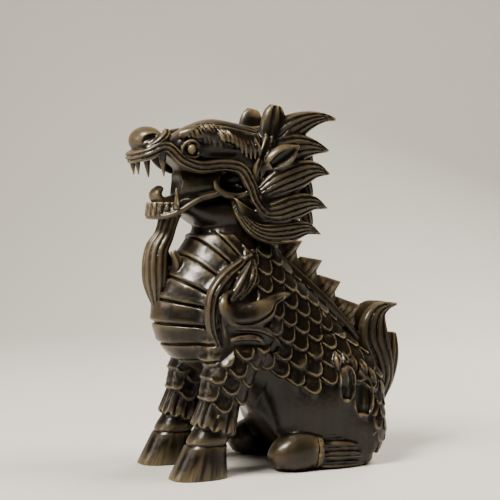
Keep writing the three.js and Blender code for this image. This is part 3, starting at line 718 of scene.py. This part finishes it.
# Beard
BEARD = [
    (0, -35.6, 106, 5, 4.6), (0, -37, 101, 4.6, 4), (0, -38.6, 96, 4.6, 4), (0, -41.6, 90.4, 5.4, 4.8),
    (0, -42.4, 84, 6.2, 5.3), (0, -42.3, 77, 6, 5), (0, -42, 71, 4.2, 3.2), (0, -41.6, 65.4, 0.9, 0.8),
]
BEARD_WISP = [(4.6, -36.4, 90, 1.4, 1.4), (6, -34.8, 84, 2.2, 2.2), (5, -37, 77, 0.6, 0.6)]
clay.add(tube(BEARD, flutes=11, depth=1.3), 0.6)
clay.add(tube(BEARD_WISP, cords=2, depth=0.5), 0.3)

# Ridge of the back, the rope that runs down each side of it, and its fins
RIDGE = [
    (0, 1, 99.5, 3.6, 5), (0, 10.8, 89.8, 3.6, 5), (0, 18.9, 81.9, 3.4, 5), (0, 27.3, 73.9, 3.4, 5),
    (0, 36, 64.3, 3.4, 5), (0, 44.6, 53.2, 3.2, 4.4), (0, 53, 42.6, 2.8, 3.2),
]
ROPE = [
    (4.2, 1.8, 92.8, 2.3, 2.6), (4.6, 15.3, 82.1, 2.3, 2.6), (4.7, 24.9, 74.1, 2.3, 2.6),
    (4.7, 34.4, 66, 2.2, 2.4), (4.6, 46, 54.4, 1.7, 1.8), (4.4, 54, 44.6, 1.2, 1.3),
]
clay.add(tube(RIDGE), 0.8)
clay.add(tube(ROPE), 0.8)
# Each fin's tip, and the valley before it
FINS = [
    ((15.6, 101), (5, 100.5)), ((24.8, 93.4), (14, 93.8)), ((34.4, 84.8), (23.5, 86.7)),
    ((43.4, 75.4), (32.2, 78.8)), ((52.8, 65), (41, 69.1)),
]


def hatched(y, z):
    """Fine strokes on a fin, which rise towards its tip."""
    stripe = (z - 0.75 * y) / 3.1
    return -0.45 * np.maximum(0, np.cos(2 * math.pi * stripe)) ** 4


for (tip_y, tip_z), (valley_y, valley_z) in FINS:
    fin = [
        (valley_y - 9, valley_z - 12), (valley_y, valley_z), (tip_y, tip_z), (tip_y - 3, tip_z - 4.6),
        (tip_y - 2.4, tip_z - 8), (tip_y - 10, tip_z - 21),
    ]
    clay.add(plate(fin, 0, 8.4, bevel=0.8, relief=hatched, edge=1.1), 0.5)

# Tail: one lock on the middle line, and one that curls back at the top on each side
TAIL_SIDE = [
    (5, 57, 24, 3.4, 5), (6, 60.4, 34, 4, 5.4), (6, 59, 43, 4.2, 6.4), (5.8, 56.4, 51, 4, 7.4),
    (5.4, 56.8, 57.6, 3.4, 6.6), (5, 59.4, 62.3, 2.6, 4.4), (4.6, 64, 64.4, 1.8, 2),
    (4.4, 69, 65.1, 0.6, 0.6),
]
TAIL_MIDDLE = [
    (0, 58, 22, 5, 4.6), (0, 63.6, 31, 5.4, 5.2), (0, 66.8, 40, 5, 5), (0, 68, 47, 4.2, 4),
    (0, 68.6, 52.4, 2.6, 2.6),
]
clay.add(tube(TAIL_MIDDLE, flutes=9, depth=1), 0.6)
clay.add(tube(TAIL_SIDE, cords=4, depth=1.2), 0.5)

# Shoulder: hair swept back from the breast, leaves, a crescent that curls up in front, strands below.
# Each row is y, z and the two half sizes.
SHOULDER_HAIR = [
    [(-6.4, 89.8, 1.2, 1.4), (-13, 84.6, 2.4, 2.6), (-20.4, 79.6, 2.7, 3.2), (-25.6, 73.6, 2.7, 3.2),
     (-27.2, 66.6, 2.6, 3), (-26.6, 59.4, 2.3, 2.6), (-24, 51.6, 0.9, 1.2)],
    [(-8, 87.2, 0.8, 0.8), (-13.6, 81.8, 2, 1.5), (-19.6, 77.6, 2.1, 1.7), (-22.8, 72, 2, 1.6),
     (-23.4, 65, 1.8, 1.4), (-22, 56, 0.6, 0.7)],
]
LEAVES = [
    [(-7.6, 87, 0.8, 0.8), (-12.6, 79.8, 2, 2.3), (-16.4, 74.4, 2.2, 2.6), (-19.6, 70.4, 0.7, 0.9)],
    [(-7.2, 86.4, 0.8, 0.8), (-9.4, 79.6, 1.9, 1.9), (-12.6, 74.6, 1.9, 2), (-16, 71, 0.6, 0.7)],
]
CRESCENT = [
    (-18.6, 74.4, 0.5, 0.5), (-21.4, 73, 1.6, 1.2), (-23.2, 69, 2.6, 2.4), (-19, 64.2, 3.2, 4.4),
    (-12.6, 63.8, 3.6, 5.6), (-6, 66.4, 3.4, 4.8), (-1.2, 70, 2.7, 2.8), (4.6, 71.8, 1.8, 1.6),
    (9.8, 72.4, 0.6, 0.6),
]


def crescent_line(share, across, rise):
    """A line cut along the crescent, above its lower edge."""
    line = -0.9 * np.exp(-(((rise - 0.34) / 0.1) ** 2))
    return line * fade(across, 0, 0.4) * fade(share, 0.3, 0.4) * fade(share, 0.95, 0.8)


UNDER_STRANDS = [
    [(-20.4, 59.4, 0.8, 0.9), (-14.6, 60.2, 2, 1.9), (-8.6, 59.6, 2.1, 2), (-3.4, 57.4, 1.7, 1.6),
     (1, 54.4, 1.1, 1), (4.6, 50.8, 0.5, 0.5)],
    [(-20, 55, 0.7, 0.8), (-14.4, 56, 1.6, 1.4), (-9, 55.4, 1.6, 1.3), (-4.6, 52.6, 0.6, 0.7)],
]
add_all([tube(on_skin(rows, 0.2), cords=3 - i, depth=1.1) for i, rows in enumerate(SHOULDER_HAIR)], 0.3)
add_all([tube(on_skin(rows, 0.3), cords=2, depth=0.8) for rows in LEAVES], 0.2)
add_all([tube(on_skin(rows, 0.2), cords=2, depth=0.6) for rows in UNDER_STRANDS], 0.3)
clay.add(tube(on_skin(CRESCENT, 0), shape=crescent_line), 0.25)

# Hip: two hanging leaves with a hollow in each, under a crest of short tufts
HIP_LEAVES = [
    [(28.4, 43, 1.6, 1.6), (30.8, 39, 3.2, 3.8), (31.6, 34, 3.4, 4.2), (31.2, 29.8, 3.2, 3.6),
     (30.8, 27, 1.6, 1.6)],
    [(36.6, 39.6, 1.8, 2.2), (38.8, 35, 3.3, 5), (39.4, 29.4, 3.5, 5.6), (39, 24.2, 3.3, 5),
     (38.4, 20.4, 1.8, 2.2)],
]
# Each tuft's root and tip
HIP_TUFTS = [
    ((27.6, 48), (27.4, 40.6)), ((31.2, 48), (31.6, 40.4)), ((35, 46.6), (36.2, 38.8)),
    ((38.8, 45), (41.4, 37.4)), ((42.6, 41.4), (46.4, 33.4)),
]


def leaf_hollow(share, across, rise):
    """The hollow inside a leaf's raised rim, with a rib down its middle."""
    sunk = fade(np.abs(rise), 0.8, 0.6) - 0.3 * fade(np.abs(rise), 0.24, 0.06)
    return -2 * sunk * fade(across, 0, 0.4) * fade(share, 0.16, 0.3) * fade(share, 0.94, 0.84)


add_all([tube(on_skin(rows, -0.3), power=2.6, shape=leaf_hollow) for rows in HIP_LEAVES], 0.3)
for (root_y, root_z), (tip_y, tip_z) in HIP_TUFTS:
    middle = ((root_y + tip_y) / 2, (root_z + tip_z) / 2)
    rows = [(root_y, root_z, 0.6, 0.6), (*middle, 2, 2.1), (tip_y, tip_z, 0.4, 0.4)]
    clay.add(tube(on_skin(rows, 0.2), cords=2, depth=0.5), 0.15)

# The ground cuts the soles flat
clay.field = np.maximum(clay.field, -clay.axes[2][None, None, :])


def skin_of(field, axes):
    """The surface where the field is zero, as points and four-sided faces: one point to each crossed cell."""
    inside = field < 0
    shape = np.array(field.shape) - 1
    corners = [(i, j, k) for i in (0, 1) for j in (0, 1) for k in (0, 1)]

    def corner(array, offset):
        return array[tuple(slice(o, o + s) for o, s in zip(offset, shape))]

    total = sum(corner(inside, offset).astype(np.uint8) for offset in corners)
    cells = np.argwhere((total > 0) & (total < 8))
    number = np.full(shape, -1, np.int64)
    number[tuple(cells.T)] = np.arange(len(cells))
    values = {offset: field[tuple((cells + offset).T)] for offset in corners}
    place = np.zeros((len(cells), 3))
    crossings = np.zeros(len(cells))
    for offset in corners:
        for axis in range(3):
            if offset[axis]:
                continue
            end = tuple(o + (i == axis) for i, o in enumerate(offset))
            a, b = values[offset], values[end]
            crossed = (a < 0) != (b < 0)
            share = np.where(crossed, a / np.where(crossed, a - b, 1), 0)
            point = np.array(offset, float) + share[:, None] * np.eye(3)[axis]
            place += np.where(crossed[:, None], point, 0)
            crossings += crossed
    place = cells + place / crossings[:, None]
    first = np.array([axis[0] for axis in axes])
    faces = []
    for axis in range(3):
        b, c = (axis + 1) % 3, (axis + 2) % 3
        before = inside.take(range(shape[axis]), axis)
        after = inside.take(range(1, shape[axis] + 1), axis)
        for edge_in, flip in ((before & ~after, False), (after & ~before, True)):
            at = np.argwhere(edge_in)
            at = at[(at[:, b] > 0) & (at[:, c] > 0) & (at[:, b] < shape[b]) & (at[:, c] < shape[c])]
            around = []
            for ob, oc in ((-1, -1), (0, -1), (0, 0), (-1, 0)):
                cell = at.copy()
                cell[:, b] += ob
                cell[:, c] += oc
                around.append(number[tuple(cell.T)])
            quad = np.stack(around, axis=1)
            faces.append(quad[:, ::-1] if flip else quad)
    return first + place * VOXEL, np.concatenate(faces)


def figure_mesh():
    """The whole figure as one mesh in the frame's metres."""
    field = np.concatenate([clay.field[::-1], clay.field])
    x, y, z = clay.axes
    points, faces = skin_of(field, [np.concatenate([-x[::-1], x]), y, z])
    points -= (0, MIDDLE_Y, 0)
    points[:, 2] = np.maximum(points[:, 2], 0)
    mesh = bpy.data.meshes.new(NODE)
    mesh.vertices.add(len(points))
    mesh.vertices.foreach_set("co", (points * SQUARE).ravel())
    mesh.loops.add(faces.size)
    mesh.loops.foreach_set("vertex_index", faces.ravel())
    mesh.polygons.add(len(faces))
    mesh.polygons.foreach_set("loop_start", np.arange(0, faces.size, 4))
    mesh.update(calc_edges=True)
    return mesh


TRIANGLES = 196000  # what the mesh is thinned to
CRUMB = 2000  # faces: a body with fewer is no part of the carving
PINHOLE = 12  # edges round the largest hole that is closed
FLAP_ROUNDS = 3
# Points closer than this share of a voxel become one, before and after the thinning
JOIN_BEFORE, JOIN_AFTER = 0.12, 0.04


def bodies_of(work):
    """The faces of a mesh in groups that hang together by their edges."""
    seen = set()
    for face in work.faces:
        if face in seen:
            continue
        seen.add(face)
        body = [face]
        for near in body:
            for edge in near.edges:
                for beside in edge.link_faces:
                    if beside not in seen:
                        seen.add(beside)
                        body.append(beside)
        yield body


def clean(mesh, gap, crumb=0):
    """Joins points closer than gap.

    With a crumb size, it also drops flaps and bodies of fewer faces, and closes pinholes.
    """
    work = bmesh.new()
    work.from_mesh(mesh)
    bmesh.ops.remove_doubles(work, verts=work.verts, dist=gap)
    bmesh.ops.dissolve_degenerate(work, dist=gap / 2, edges=work.edges)
    if crumb:
        for _ in range(FLAP_ROUNDS):
            counts = [[len(edge.link_faces) for edge in face.edges] for face in work.faces]
            flaps = [face for face, count in zip(work.faces, counts) if min(count) == 1 and max(count) > 2]
            bmesh.ops.delete(work, geom=flaps, context="FACES")
        loose = [face for body in bodies_of(work) if len(body) < crumb for face in body]
        bmesh.ops.delete(work, geom=loose, context="FACES")
        rims = [edge for edge in work.edges if len(edge.link_faces) == 1]
        bmesh.ops.holes_fill(work, edges=rims, sides=PINHOLE)
    work.to_mesh(mesh)
    work.free()


figure = bpy.data.objects.new("carved_qilin", figure_mesh())
clean(figure.data, JOIN_BEFORE * VOXEL * SQUARE)
bpy.context.scene.collection.objects.link(figure)
triangles = 2 * len(figure.data.polygons)
if triangles > TRIANGLES:
    thin = figure.modifiers.new("thin", "DECIMATE")
    thin.ratio = TRIANGLES / triangles
    evaluated = figure.evaluated_get(bpy.context.evaluated_depsgraph_get())
    final = bpy.data.meshes.new_from_object(evaluated)
    figure.modifiers.remove(thin)
    figure.data = final
clean(figure.data, JOIN_AFTER * VOXEL * SQUARE, crumb=CRUMB)
figure.data.polygons.foreach_set("use_smooth", np.ones(len(figure.data.polygons), bool))


GRAIN_STRETCH = (260, 260, 34)  # the grain runs up the block
DARK_GRAIN = (0.004, 0.003, 0.0018, 1)
LIGHT_GRAIN = (0.017, 0.0115, 0.0068, 1)
# the paler tone along the middle line
PALER_MIDDLE = (0.1, 0.074, 0.047, 1)
# colour of the raised edges: rubbed pale, and a painted highlight on them
WORN_AND_HIGHLIT = (0.24, 0.188, 0.112, 1)
# painted shade: the colour that darkens the hollows
PAINTED_HOLLOW_SHADE = (0.002, 0.0015, 0.001, 1)
# The colour sockets of a mix node
MIX_A, MIX_B, MIX_RESULT = 6, 7, 2


def wood():
    """Near-black brown hardwood, waxed: grain along the block, tool marks, raised edges rubbed pale with a
    painted highlight on them, and painted shade in the hollows.
    """
    material = bpy.data.materials.new("dark_wood")
    material.use_nodes = True
    nodes, links = material.node_tree.nodes, material.node_tree.links
    shader = nodes["Principled BSDF"]
    shader.inputs["IOR"].default_value = 1.45
    shader.inputs["Coat Weight"].default_value = 0.25
    shader.inputs["Coat Roughness"].default_value = 0.22

    def node(kind, **values):
        made = nodes.new(kind)
        for key, value in values.items():
            if key in made.inputs:
                made.inputs[key].default_value = value
            else:
                setattr(made, key, value)
        return made

    def ranged(source, low, high, start=0.0, end=1.0):
        """source, brought from the range low to high into the range start to end."""
        made = node("ShaderNodeMapRange")
        for name, value in (("From Min", low), ("From Max", high), ("To Min", start), ("To Max", end)):
            made.inputs[name].default_value = value
        links.new(source, made.inputs["Value"])
        return made.outputs["Result"]

    def mixed(base, colour, share):
        """base, turned towards colour by share."""
        made = node("ShaderNodeMix", data_type="RGBA")
        links.new(share, made.inputs["Factor"])
        links.new(base, made.inputs[MIX_A])
        made.inputs[MIX_B].default_value = colour
        return made.outputs[MIX_RESULT]

    place = node("ShaderNodeTexCoord").outputs["Object"]
    stretch = node("ShaderNodeMapping", Scale=GRAIN_STRETCH)
    links.new(place, stretch.inputs["Vector"])
    grain = node("ShaderNodeTexNoise", Scale=1.0, Detail=6.0, Roughness=0.62, Distortion=0.4)
    links.new(stretch.outputs["Vector"], grain.inputs["Vector"])
    tint = node("ShaderNodeValToRGB")
    for stop, position, colour in zip(tint.color_ramp.elements, (0.3, 0.72), (DARK_GRAIN, LIGHT_GRAIN)):
        stop.position = position
        stop.color = colour
    links.new(grain.outputs["Fac"], tint.inputs["Fac"])

    # The colour turns paler towards the middle line: nose, crown, beard, fins and tail
    apart = node("ShaderNodeSeparateXYZ")
    links.new(place, apart.inputs["Vector"])
    aside = node("ShaderNodeMath", operation="ABSOLUTE")
    links.new(apart.outputs["X"], aside.inputs[0])
    colour = mixed(tint.outputs["Color"], PALER_MIDDLE, ranged(aside.outputs["Value"], 0.0085, 0.003, end=0.5))

    # Raised edges are rubbed pale and also carry a painted highlight
    pointed = node("ShaderNodeNewGeometry").outputs["Pointiness"]
    colour = mixed(colour, WORN_AND_HIGHLIT, ranged(pointed, 0.509, 0.585))
    # Hollows and creases are darkened with painted shade
    colour = mixed(colour, PAINTED_HOLLOW_SHADE, ranged(pointed, 0.5, 0.44))
    links.new(colour, shader.inputs["Base Color"])

    cloud = node("ShaderNodeTexNoise", Scale=38.0, Detail=3.0, Roughness=0.5)
    links.new(place, cloud.inputs["Vector"])
    links.new(ranged(cloud.outputs["Fac"], 0, 1, 0.25, 0.46), shader.inputs["Roughness"])

    marks = node("ShaderNodeTexVoronoi", Scale=430.0)
    links.new(place, marks.inputs["Vector"])
    cuts = node("ShaderNodeBump", Strength=0.16, Distance=0.0006)
    links.new(marks.outputs["Distance"], cuts.inputs["Height"])
    bump = node("ShaderNodeBump", Strength=0.25, Distance=0.0004)
    links.new(cuts.outputs["Normal"], bump.inputs["Normal"])
    links.new(grain.outputs["Fac"], bump.inputs["Height"])
    links.new(bump.outputs["Normal"], shader.inputs["Normal"])
    return material


figure.data.materials.clear()
figure.data.materials.append(wood())
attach(figure, "root")
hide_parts(NODE)

# Camera: 25 degrees round from the figure's left side towards its front, and 2 degrees above the level
TURN = math.radians(25)
RISE = math.radians(2)
DISTANCE = 0.540  # metres
AIM_HEIGHT = 89.626  # squares
AIM = Vector((0, -MIDDLE_Y * SQUARE, AIM_HEIGHT * SQUARE))
FOCAL_PIXELS = 1290.36
IMAGE = 500  # pixels across
SENSOR = 36.0  # millimetres


def camera():
    """The camera, at the photograph's viewing angle."""
    data = bpy.data.cameras.new("camera")
    data.sensor_width = SENSOR
    data.lens = FOCAL_PIXELS / IMAGE * SENSOR
    data.clip_start = 0.01
    made = bpy.data.objects.new("camera", data)
    way = Vector((math.cos(RISE) * math.cos(TURN), -math.cos(RISE) * math.sin(TURN), math.sin(RISE)))
    made.location = AIM + way * DISTANCE
    made.rotation_euler = way.to_track_quat("Z", "Y").to_euler()
    bpy.context.scene.collection.objects.link(made)
    bpy.context.scene.camera = made


camera()


def plain(name, colour, roughness):
    """A material of one colour."""
    material = bpy.data.materials.new(name)
    material.use_nodes = True
    shader = material.node_tree.nodes["Principled BSDF"]
    shader.inputs["Base Color"].default_value = (*colour, 1)
    shader.inputs["Roughness"].default_value = roughness
    return material


# The floor, in metres away from the camera: its near edge, where it starts to curve up, the curve's radius,
# the top of the wall and half the width
NEAR_EDGE, CURVE_START, CURVE_RADIUS, WALL_TOP, HALF_WIDTH = -1.2, 0.5, 0.35, 1.6, 1.6
CURVE_STEPS = 12
FLOOR_COLOUR = (0.46, 0.45, 0.43)


def floor():
    """A pale floor that curves up behind the figure."""
    profile = [(NEAR_EDGE, 0), (CURVE_START, 0)]
    for i in range(1, CURVE_STEPS + 1):
        turn = math.pi / 2 * i / CURVE_STEPS
        profile.append((CURVE_START + CURVE_RADIUS * math.sin(turn), CURVE_RADIUS * (1 - math.cos(turn))))
    profile.append((CURVE_START + CURVE_RADIUS, WALL_TOP))
    way = Vector((-math.cos(TURN), math.sin(TURN), 0))
    side = Vector((math.sin(TURN), math.cos(TURN), 0))
    points = [way * a + side * s + Vector((0, 0, z)) for a, z in profile for s in (-HALF_WIDTH, HALF_WIDTH)]
    faces = [(2 * i, 2 * i + 2, 2 * i + 3, 2 * i + 1) for i in range(len(profile) - 1)]
    mesh = bpy.data.meshes.new("floor")
    mesh.from_pydata(points, [], faces)
    mesh.polygons.foreach_set("use_smooth", [True] * len(mesh.polygons))
    made = bpy.data.objects.new("floor", mesh)
    mesh.materials.append(plain("floor", FLOOR_COLOUR, 0.7))
    bpy.context.scene.collection.objects.link(made)


floor()

WARM = (1, 0.94, 0.84)
LAMP_AIM = Vector((0, 0, 0.08))  # metres
SKY = (0.9, 0.93, 1, 1)
SKY_STRENGTH = 0.06


def lamp(name, azimuth, height, distance, size, power, glossy=True):
    """A soft square lamp that looks at the figure.

    azimuth is in degrees from the camera, to the right. Lengths are in metres and power in watts.
    """
    data = bpy.data.lights.new(name, "AREA")
    data.shape = "SQUARE"
    data.size = size
    data.energy = power
    data.color = WARM
    turn = math.radians(azimuth)
    toward = Vector((math.cos(TURN), -math.sin(TURN), 0))
    side = Vector((math.sin(TURN), math.cos(TURN), 0))
    made = bpy.data.objects.new(name, data)
    made.location = (toward * math.cos(turn) + side * math.sin(turn)) * distance + Vector((0, 0, height))
    made.rotation_euler = (made.location - LAMP_AIM).to_track_quat("Z", "Y").to_euler()
    made.visible_glossy = glossy
    bpy.context.scene.collection.objects.link(made)


lamp("key", -44, 0.75, 0.5, 0.3, 14.0)
lamp("front", -75, 0.3, 0.8, 0.3, 1.5)
lamp("back", 96, 0.75, 0.55, 0.4, 9.0, glossy=False)
lamp("edge", 150, 0.45, 0.6, 0.3, 4.0, glossy=False)

world = bpy.data.worlds.new("world")
bpy.context.scene.world = world
world.use_nodes = True
world.node_tree.nodes["Background"].inputs["Color"].default_value = SKY
world.node_tree.nodes["Background"].inputs["Strength"].default_value = SKY_STRENGTH

bpy.context.scene.view_settings.look = "AgX - Medium High Contrast"
